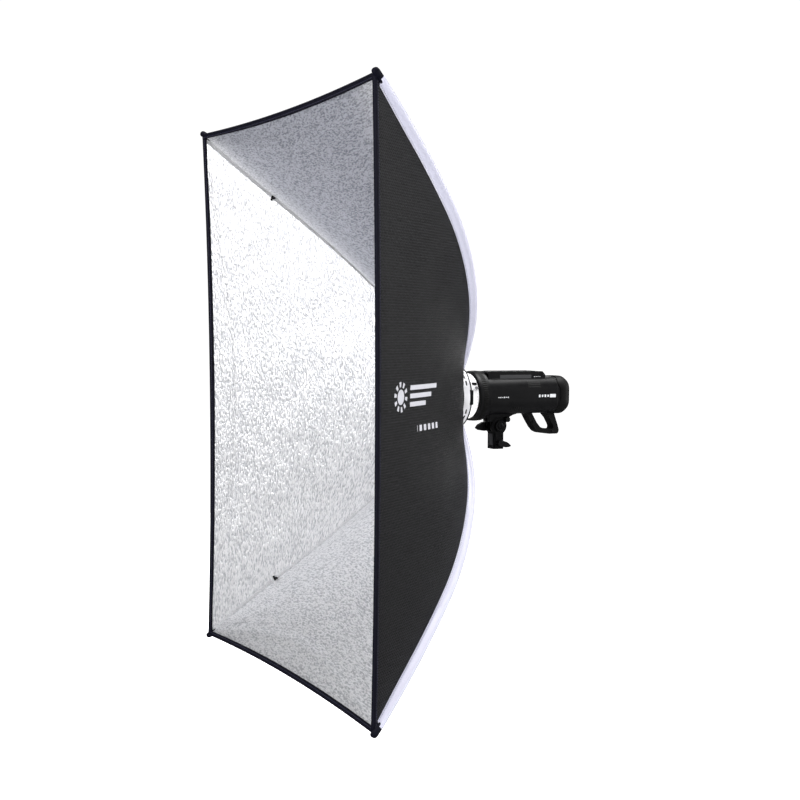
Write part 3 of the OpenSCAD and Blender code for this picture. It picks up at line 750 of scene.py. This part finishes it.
def make_pocket(corner):
    """The closed pocket over a rod's tip, sewn to the corner of the hem."""
    ends = [(-0.022, 0.55), (-0.0205, 0.86), (-0.018, 0.97), (-0.010, 1.0), (0.001, 1.0), (0.0045, 0.98),
            (0.0080, 0.86),
            (0.0100, 0.62), (0.0108, 0.3)]
    slope = float(rod_slope(ROD_LEN))
    out_r, along = np.array([math.sin(slope), math.cos(slope)]), np.array([math.cos(slope),
                                                                           -math.sin(slope)])
    rings, places = [], []
    for step, share in ends:
        centre = rod_point(ROD_LEN) + step * along - 0.0022 * out_r
        ring = []
        for t in np.linspace(0, 2 * math.pi, 28, endpoint=False):
            lift = math.sin(t) * (0.0082 if math.sin(t) > 0 else 0.0070)
            across = math.copysign(abs(math.cos(t)) ** 0.8, math.cos(t)) * (0.0062 - 0.0010 * math.sin(t))
            r, y = centre + share * lift * out_r
            ring.append(in_rod_plane(r, y, share * across))
        rings.append(ring)
        places.append([(0.002 * k, step, 0) for k in range(28)])
    piece = sweep(f"tip_pocket_{corner}", to_corner(np.array(rings), corner), HEM, "rod_" + corner, 50,
                  cloth=np.array(places))


def sleeve_sections(s, corner):
    """The rod's sleeve: round over the rod, with two flanges sewn to the panels beside the seam."""
    slope = rod_slope(s)
    centre = rod_point(s)
    n = np.stack([np.sin(slope), np.cos(slope)], -1)
    v = s / ROD_LEN
    middle = in_rod_plane(centre[:, 0], centre[:, 1])
    out = in_rod_plane(n[:, 0], n[:, 1])
    side = np.broadcast_to(in_rod_plane(0.0, 0.0, 1.0), middle.shape)
    reach = np.clip(0.011 / (centre[:, 0] * 0.7), 0, 0.5)
    points = []
    flanges = []
    for sign in (-1, 1):
        # sign -1 is the side panel and 1 the top panel
        edge = fabric_point(sign * reach, v, False) + np.array([0, CLOTH_T / 2, 0])
        near = fabric_point(sign * reach * 0.45, v, False) + np.array([0, CLOTH_T / 2, 0])
        face = unit(np.cross(np.gradient(edge, axis=0), edge - near))
        face *= np.sign((face * out).sum(1, keepdims=True))
        flanges.append((edge, near, face))
    (edge_a, near_a, face_a), (edge_b, near_b, face_b) = flanges
    points.append(edge_a + 0.0002 * face_a)
    points.append(edge_a + 0.0011 * face_a)
    points.append(near_a + 0.0014 * face_a)
    # The round part, from the side panel's flange over the rod to the top panel's
    for angle in np.radians(np.linspace(-38, 218, 17)):
        points.append(middle + (SLEEVE_R + 0.0003) * (math.sin(angle) * out - math.cos(angle) * side))
    points.append(near_b + 0.0014 * face_b)
    points.append(edge_b + 0.0011 * face_b)
    points.append(edge_b + 0.0002 * face_b)
    inner = fabric_point(0.0 * v, v, False) + np.array([0, CLOTH_T / 2, 0])
    points.append(inner + 0.0002 * out)
    rings = np.stack(points, axis=1)
    along = run_length(middle)
    places = tape_places(along, rings.shape[1], 0.0015)
    rows = [(near + (edge - near) * 0.62 + 0.0012 * face, face) for edge, near, face in flanges]
    return rings, places, rows


def make_sleeve(corner):
    body = "rod_" + corner
    s = np.linspace(0.006, ROD_LEN - 0.012, 120)
    rings, places, rows = sleeve_sections(s, corner)
    piece = sweep(f"sleeve_tube_{corner}", to_corner(rings, corner), SLEEVE, body, 45, cloth=places)
    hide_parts("sleeve_" + corner)
    sew(corner, "sleeve_thread", ("side", "end"), rows, 0.0045, 0.0032, 0.00035)


# ---- Details of the ring and the flash head ----

BODY_W, BODY_H, BODY_CORNER = 0.084, 0.086, 0.030
HOUSING_BACK, COVER_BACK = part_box("rear_cover")[0].y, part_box("rear_cover")[1].y
DARK_GREY = plastic_material("dark_grey_trim", (0.028, 0.028, 0.031), 0.5)
# Matte black for painted shade, inside the ring's slots and the housing's vent slits, and for the dark seam
# line where the cover meets the housing.
SHADE_AND_SEAM_BLACK = plastic_material("shade_and_seam_black", (0.003, 0.003, 0.003), 0.7)
PALE_INK = plastic_material("pale_ink", (0.55, 0.56, 0.58), 0.5)
BRASS = metal_material("brass", (0.62, 0.45, 0.2), 0.3)


def round_edges(name, width=0.0007):
    """Bevels a carried-over node's crisp edges."""
    node = frame["nodes"][name]
    weld = node.modifiers.new("weld", "WELD")
    weld.merge_threshold = 0.00001
    bevel = node.modifiers.new("bevel", "BEVEL")
    bevel.width, bevel.segments, bevel.limit_method, bevel.angle_limit = width, 2, "ANGLE", math.radians(40)
    bevel.harden_normals = True


def on_housing(angle, y, side=1, grow=0.0, slide=0.0):
    """A place on the housing's skin and its normal: angle is the normal's, in degrees above level."""
    a = math.radians(angle)
    flat = (BODY_W / 2 - BODY_CORNER, BODY_H / 2 - BODY_CORNER)
    x = flat[0] + (BODY_CORNER + grow) * math.cos(a)
    z = math.copysign(flat[1], angle) if angle else slide
    z += (BODY_CORNER + grow) * math.sin(a)
    return (side * x, y, AXIS_Z + z), (side * math.cos(a), 0, math.sin(a))


def make_ring_details():
    cuff = [(0.0735 + 0.0021 * math.cos(a), MOUTH_Y + 0.0021 * math.sin(a), 1 if math.cos(a) > 0 else 0.4)
            for a in np.linspace(0, 2 * math.pi, 10, endpoint=False)]
    on_axis("mouth_cuff", cuff, HEM, "ring", flutes=110, depth=0.0009, count=440)
    rim = [(RING_R - 0.0016, RING_BACK - 0.0028, 0), (RING_R + 0.0008, RING_BACK - 0.0026, 0),
           (RING_R + 0.0012, RING_BACK - 0.0018, 0), (RING_R + 0.0010, RING_BACK - 0.0002, 0),
           (RING_R - 0.0016, RING_BACK + 0.0004, 0)]
    on_axis("ring_rim_band", rim, BLACK_PLASTIC, "ring")
    slots, ticks, bolts = [], [], []
    for angle in (27, 40, 140, 153):
        for side in (-1, 1):
            out = spoke(-side * angle)
            slots.append((out * 0.0684 + (0, RING_FRONT + 0.011, AXIS_Z), (-out[2], 0, out[0]), out, 0.0116,
                          0.0036,
                          0.0016))
    for k in range(16):
        out = spoke(11.25 + 22.5 * k)
        if abs(out[0]) < 0.93:
            bolts.append((out * 0.0655 + (0, RING_BACK, AXIS_Z), (0, 1, 0), 0.0021))
    for k in range(48):
        out = spoke(7.5 * k)
        long = 0.004 if k % 4 == 0 else 0.0022
        ticks.append((out * 0.0520 + (0, -0.0795 - long / 2, AXIS_Z), (0, 1, 0), out, long, 0.0006, 0.0002))
    # Painted shade: dark bars inside the ring's slots stand in for the shade in them.
    bars("ring_slot_shade", slots, SHADE_AND_SEAM_BLACK, "ring")
    screws("ring_screws", bolts, BRIGHT_METAL, "ring")
    bars("band_scale_ticks", ticks, DARK_GREY, "head")
    groove = mm([(51.5, -92, 0), (52.3, -91.7, 0), (52.3, -91.1, 0), (51.5, -90.8, 0)])
    on_axis("band_bead", groove, WHITE_PAINT, "head")
    lever = [((0.0688, -0.1050, AXIS_Z + 0.0035 * k), (0, 1, 0), (1, 0, 0), 0.0044, 0.0014, 0.0009)
             for k in range(-4, 5)]
    bars("fold_lever_ridges", lever, GRIP, "fold_lever")
    axis = spoke(20)
    base = 0.052 * axis + (0, -0.0855, AXIS_Z)
    knob = mm([(4, 1.2, 0), (4.7, 1.4, 0.3), (4.9, 2, 1), (4.9, 5.6, 1), (4.4, 6.4, 0.2), (3, 6.6, 0),
               (2.6, 6, 0)])
    lathe("rotation_lock_knurl", knob, base, axis, BRIGHT_METAL, "rotation_lock", 22, 0.0005, count=132)
    out = spoke(34)
    bars("band_index_block", [(out * 0.0520 + (0, -0.0855, AXIS_Z), (0, 1, 0), out, 0.0120, 0.0060, 0.0024),
                              (out * 0.0540 + (0, -0.0855, AXIS_Z), (0, 1, 0), out, 0.0060, 0.0022,
                               0.0012)],
         DARK_METAL, "head")


def make_lever_springs():
    """Two small coil springs behind the fold lever."""
    low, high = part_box("fold_spring")
    coil_r, wire_r = 0.0011, 0.00028
    turn = np.linspace(0, 8 * math.pi, 161)
    for tag, z in (("lower", low.z + 0.0015), ("upper", high.z - 0.0015)):
        centre = np.array([0, (low.y + high.y) / 2, z])
        radial = np.stack([0 * turn, np.cos(turn), np.sin(turn)], -1)
        path = centre + coil_r * radial
        path[:, 0] = low.x + 0.0003 + (high.x - low.x - 0.0006) * turn / turn[-1]
        rings = np.stack([path + wire_r * (math.cos(a) * radial + math.sin(a) * np.array([1, 0, 0]))
                          for a in np.linspace(0, 2 * math.pi, 10, endpoint=False)], axis=1)
        spring = sweep(f"lever_spring_{tag}", rings, BRIGHT_METAL, "ring", 60)
        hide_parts("fold_spring")
        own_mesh(spring)


def make_collar_details():
    grip = mm([(56.2, -66.8, 0), (57.4, -66.2, 1), (57.6, -65, 1), (57.6, -56.2, 1), (57.4, -55, 1),
               (56.2, -54.4, 0)])
    on_axis("collar_grip", grip, GRIP, "head", flutes=72, depth=0.0006, count=432)
    lip = mm([(54, -74.4, 0), (55.6, -74.8, 0), (56.6, -74, 0), (56.6, -72.6, 0), (54, -72.2, 0)])
    on_axis("collar_lip", lip, BLACK_PLASTIC, "head")


def make_housing_details():
    outline = rounded_outline(BODY_W, BODY_H, BODY_CORNER, 192)
    at, n = outline
    seam = [(HOUSING_BACK - 0.0006, -0.0004), (HOUSING_BACK - 0.0005, 0.00025),
            (HOUSING_BACK + 0.0005, 0.00025),
            (HOUSING_BACK + 0.0006, -0.0004)]
    outline_band("cover_seam", outline, seam, SHADE_AND_SEAM_BLACK, "head")
    front = HOUSING_BACK + 0.0015 + 0.0048 * (1 - 2 * np.abs(n[:, 0] * n[:, 1])) \
        + 0.0012 * np.cos(6 * np.arctan2(n[:, 1], n[:, 0]))
    guard = [(front, -0.0006), (front + 0.0002, 0.0012), (front + 0.0012, 0.0019),
             (COVER_BACK - 0.0150, 0.0020),
             (COVER_BACK - 0.0115, 0.0013), (COVER_BACK - 0.0070, -0.0010), (COVER_BACK - 0.0030, -0.0038),
             (COVER_BACK + 0.0004, -0.0064), (COVER_BACK + 0.0014, -0.0076), (COVER_BACK + 0.0010, -0.0082),
             (COVER_BACK - 0.0006, -0.0084), (COVER_BACK - 0.0060, -0.0060), (COVER_BACK - 0.0150, -0.0010)]
    outline_band("cover_guard", outline, guard, GRIP, "head", sharp=50)
    slits, plates = [], []
    for side in (-1, 1):
        for angle in (14, 23, 32, 41):
            place, normal = on_housing(angle, 0.080, side)
            slits.append((place, (0, 1, 0), normal, 0.034, 0.0016, 0.0004))
        for k in range(3):
            place, normal = on_housing(46 + 7 * k, -0.026 + 0.007 * k, side)
            slits.append((place, (0, 1, 0), normal, 0.009, 0.0014, 0.0004))
        for k in range(6):
            place, normal = on_housing(-38, 0.020 + 0.006 * k, side)
            slits.append((place, np.cross(normal, (0, 1, 0)), normal, 0.012, 0.0018, 0.0004))
        place, normal = on_housing(0, 0.131, side, slide=-0.001)
        plates.append((place, (0, 1, 0), normal, 0.0165, 0.0078, 0.0005))
        for k in range(4):
            place, normal = on_housing(0, 0.094 + 0.008 * k, side, slide=-0.001)
            plates.append((place, (0, 1, 0), normal, 0.0042, 0.0062 - 0.0012 * (k % 2), 0.0003))
        for k in range(6):
            place, normal = on_housing(0, -0.018 + 0.005 * k, side, slide=-0.003)
            plates.append((place, (0, 1, 0), normal, 0.0030, 0.0028 if k % 2 else 0.0018, 0.0003))
    # Painted shade: the vent slits are dark strips on the skin that stand in for the shade inside openings.
    bars("housing_vents", slits, SHADE_AND_SEAM_BLACK, "head")
    bars("housing_badges", plates, PALE_INK, "head", 0.2)
    rails = [(on_housing(58, 0.050, side)[0], (0, 1, 0), on_housing(58, 0.050, side)[1], 0.160, 0.0026,
              0.0008)
             for side in (-1, 1)]
    bars("housing_rails", rails, BLACK_PLASTIC, "head")
    bolts = [(*on_housing(-52, y, side), 0.0024) for side in (-1, 1) for y in (-0.034, 0.128)]
    bolts += [((x, COVER_BACK - 0.0002, AXIS_Z + z), (0, 1, 0), 0.0022) for x in (-0.027,
                                                                                  0.027) for z in (-0.026,
                                                                                                   0.027)]
    screws("housing_screws", bolts, DARK_METAL, "head")


def make_rear_details():
    y = COVER_BACK
    window = rounded_outline(0.0386, 0.0226, 0.0025, 96)
    bezel = [(y - 0.0004, -0.0012), (y + 0.0009, -0.0012), (y + 0.0014, -0.0004), (y + 0.0014, 0.0006),
             (y + 0.0008, 0.0014), (y - 0.0004, 0.0014)]
    outline_band("display_bezel", window, bezel, BLACK_PLASTIC, "head", (0, 0.016))
    dial = mm([(12.4, 0.6, 0), (13.3, 1, 1), (13.3, 8.2, 1), (12.6, 9.4, 0.4), (11, 9.8, 0), (10, 9.2, 0),
               (4, 9, 0)])
    lathe("dial_grip", dial, (0, y, AXIS_Z - 0.014), (0, 1, 0), GRIP, "control_dial", 36, 0.0007, count=216)
    bars("dial_pointer", [((0, y + 0.0091, AXIS_Z - 0.0075), (0, 0, 1), (0, 1, 0), 0.0050, 0.0009, 0.0004)],
         PALE_INK,
         "control_dial")
    for name, x, z in (("set", -0.021, -0.014), ("test", 0.021, -0.014), ("power", 0.021, -0.026)):
        collar = mm([(3.8, -0.4, 0), (3.8, 0.8, 0), (4.3, 1.2, 0), (5, 0.8, 0), (5.2, -0.4, 0)])
        lathe(f"{name}_button_collar", collar, (x, y, AXIS_Z + z), (0, 1, 0), DARK_GREY, "head",
              closed=True, count=48)
        cap = mm([(3.4, 1.8, 0), (3.4, 2.6, 0), (2.9, 3.1, 0), (1.8, 3, 0), (1, 2.8, 0)])
        lathe(f"{name}_button_cap", cap, (x, y, AXIS_Z + z), (0, 1, 0),
              RED if name == "test" else DARK_GREY,
              f"{name}_button", count=48)
    jack = mm([(2.2, -0.4, 0), (2.2, 1, 0), (3.6, 1.4, 0), (4.4, 1, 0), (4.6, -0.4, 0)])
    lathe("sync_socket", jack, (-0.021, y, AXIS_Z - 0.026), (0, 1, 0), BRIGHT_METAL, "head", closed=True,
          count=48)
    lamps = [((-0.006 + 0.006 * k, y, AXIS_Z + 0.0015), (1, 0, 0), (0, 1, 0), 0.0022, 0.0012,
              0.0005) for k in range(3)]
    bars("status_lamps", lamps, LAMP, "head")


def make_battery_details():
    low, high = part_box("battery_pack")
    top = high.z
    rails = [((x, (low.y + high.y) / 2 - 0.004, top), (0, 1, 0), (0, 0, 1), 0.118, 0.0030, 0.0009)
             for x in (-0.018, -0.006, 0.006, 0.018)]
    bars("battery_ribs", rails, BLACK_PLASTIC, "battery")
    strips = [((side * high.x, 0.036, top - 0.0125), (0, 1, 0), (side, 0, 0), 0.086, 0.0085,
               0.0006) for side in (-1, 1)]
    bars("battery_side_strips", strips, DARK_GREY, "battery", 0.4)
    lamps = [((high.x, 0.088 + 0.005 * k, top - 0.0125), (0, 1, 0), (1, 0, 0), 0.0026, 0.0016,
              0.0007) for k in range(4)]
    bars("charge_lamps", lamps, PALE_INK, "battery")
    low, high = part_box("battery_latch")
    ridges = [((0, high.y, low.z + 0.0018 + 0.0019 * k), (1, 0, 0), (0, 1, 0), 0.0160, 0.0009,
               0.0006) for k in range(5)]
    bars("latch_ridges", ridges, DARK_GREY, "battery_latch")


def make_grip_details():
    curve = np.array([(0.0795, -0.047), (0.088, -0.061), (0.099, -0.077), (0.108, -0.0855),
                      (0.116, -0.0902)])
    along = run_length(curve)
    ribs = []
    for s in np.arange(0.006, along[-1] - 0.006, 0.0036):
        y, z = (np.interp(s, along, curve[:, k]) for k in (0, 1))
        k = min(int(np.searchsorted(along, s)), len(curve) - 1)
        step = unit(curve[k] - curve[k - 1])
        ribs.append(((0, y, AXIS_Z + z), (1, 0, 0), (0, step[1], -step[0]), 0.0190, 0.0018, 0.0007))
    bars("handle_ribs", ribs, GRIP, "head")
    bolts = [((side * 0.0128, y, AXIS_Z + z), (side, 0, 0), 0.0026) for side in (-1, 1)
             for y, z in ((0.0955, -0.063), (0.150, -0.0875))]
    screws("handle_screws", bolts, DARK_METAL, "head")


def make_bracket_details():
    pivot = 0.054
    cap = mm([(12.9, -0.6, 0), (13.1, 0.4, 0), (12.2, 1.1, 0), (10.8, 1.1, 0), (10, 0.3, 0), (7.6, 0.3, 0),
              (7, 1.3, 0), (5.6, 1.9, 0), (4, 1.9, 0), (3.6, 0.6, 0)])
    lathe("pivot_cap_rings", cap, (0.0213, 0, pivot), (1, 0, 0), DARK_METAL, "stand")
    washer = mm([(13.8, -0.2, 0), (15, -0.2, 0), (15.2, 0.4, 0), (13.8, 0.6, 0)])
    lathe("pivot_washer", washer, (0.016, 0, pivot), (1, 0, 0), DARK_METAL, "stand", closed=True)
    knob = mm([(5.8, 1, 0), (6.4, 1.4, 1), (6.4, 6.6, 1), (5.8, 7.8, 0.4), (4, 8.3, 0), (3, 7.8, 0)])
    lathe("umbrella_knob_grip", knob, (0.0164, 0.019, 0.0685), (1, 0, 0), GRIP, "umbrella_screw", 12,
          0.0009,
          count=144)
    bushing = mm([(7.9, 4, 0), (7.9, -0.6, 0), (9, -0.8, 0), (9.6, 0.2, 0)])
    lathe("socket_bushing", bushing, (0, 0, 0), (0, 0, 1), BRASS, "stand", closed=True)
    bolts = [((0.0159, y, 0.030), (1, 0, 0), 0.0022) for y in (-0.0085, 0.0085)]
    screws("bracket_screws", bolts, DARK_METAL, "stand")
    plates = [((0, side * 0.0134, 0.022), (0, 0, 1), (0, side, 0), 0.026, 0.018, 0.0006) for side in (-1,
                                                                                                      1)]
    bars("bracket_plates", plates, DARK_GREY, "stand")
    teeth = [((side * 0.0158, 0.0178 * math.cos(a), pivot + 0.0178 * math.sin(a)),
              (0, math.cos(a), math.sin(a)), (side, 0, 0), 0.0030, 0.0008, 0.0004)
             for side in (-1, 1) for a in np.radians(np.arange(0, 360, 9))]
    bars("cheek_teeth", teeth, DARK_METAL, "stand")


dress_cad_nodes()
for corner in CORNERS:
    make_fabric(corner)
    make_hem(corner)
    make_pocket(corner)
    make_sleeve(corner)
make_ring_details()
make_lever_springs()
make_collar_details()
make_housing_details()
make_rear_details()
make_battery_details()
make_grip_details()
make_bracket_details()
for name in ("clamp_screw", "tilt_lever", "stand_block", "yoke", "handle", "battery_pack", "fold_lever",
             "ring_plate"):
    round_edges(name, 0.0012 if name in ("clamp_screw", "tilt_lever", "handle") else 0.0007)


# ---- Stage, lights and camera ----

def make_stage():
    size, z = 30.0, CAD_BOX[0][2] - 0.25
    mesh = bpy.data.meshes.new("floor")
    mesh.from_pydata([(-size, -size, z), (size, -size, z), (size, size, z), (-size, size, z)], [],
                     [(0, 1, 2, 3)])
    paint = Shader("floor_paint", (0.9, 0.9, 0.9), 0.9, Emission_Color=(1, 1, 1, 1), Emission_Strength=0.97)
    mesh.materials.append(paint.material)
    floor = bpy.data.objects.new("floor", mesh)
    bpy.context.scene.collection.objects.link(floor)
    floor.visible_glossy = False


def make_world(strength, background):
    """A soft white room: background is what the camera sees behind the object."""
    world = bpy.data.worlds.new("room")
    bpy.context.scene.world = world
    world.use_nodes = True
    nodes, links = world.node_tree.nodes, world.node_tree.links
    room = nodes["Background"]
    room.inputs["Color"].default_value = (1, 1, 1, 1)
    room.inputs["Strength"].default_value = strength
    seen = nodes.new("ShaderNodeBackground")
    seen.inputs["Color"].default_value = (1, 1, 1, 1)
    seen.inputs["Strength"].default_value = background
    mix, rays = nodes.new("ShaderNodeMixShader"), nodes.new("ShaderNodeLightPath")
    links.new(rays.outputs["Is Camera Ray"], mix.inputs[0])
    links.new(room.outputs[0], mix.inputs[1])
    links.new(seen.outputs[0], mix.inputs[2])
    links.new(mix.outputs[0], nodes["World Output"].inputs["Surface"])


def area_light(name, place, target, width, height, power):
    data = bpy.data.lights.new(name, "AREA")
    data.shape = "RECTANGLE"
    data.size, data.size_y, data.energy = width, height, power
    light = bpy.data.objects.new(name, data)
    light.visible_camera = False
    light.location = place
    light.rotation_mode = "QUATERNION"
    light.rotation_quaternion = (Vector(target) - Vector(place)).to_track_quat("-Z", "Y")
    bpy.context.scene.collection.objects.link(light)


def make_camera():
    data = bpy.data.cameras.new("view")
    data.sensor_width, data.lens = 36.0, 58.23
    data.shift_x, data.shift_y = -0.1033, 0.0912
    camera = bpy.data.objects.new("view", data)
    camera.location = (2.5536, -1.5920, 0.2728)
    camera.rotation_mode = "QUATERNION"
    level = Vector((-0.8485, 0.5177, -0.1093)).to_track_quat("-Z", "Y")
    camera.rotation_quaternion = level @ Quaternion((0, 0, 1), math.radians(0.66))
    bpy.context.scene.collection.objects.link(camera)
    bpy.context.scene.camera = camera


make_stage()
make_world(0.15, 1.05)
CENTRE = (0, -0.35, AXIS_Z)
area_light("key", (1.5, -3.0, 1.5), CENTRE, 1.8, 1.8, 100)
area_light("fill", (3.2, 0.9, 0.5), (0, 0, AXIS_Z), 1.2, 1.2, 9)
area_light("behind", (0.9, 3.0, 0.6), CENTRE, 1.6, 1.2, 36)
area_light("backdrop", (-3.4, 1.9, 0.3), CENTRE, 3.6, 2.2, 60)
area_light("overhead", (0.3, 0.9, 3.0), CENTRE, 2.4, 1.2, 160)
make_camera()
bpy.context.scene.view_settings.view_transform = "Standard"
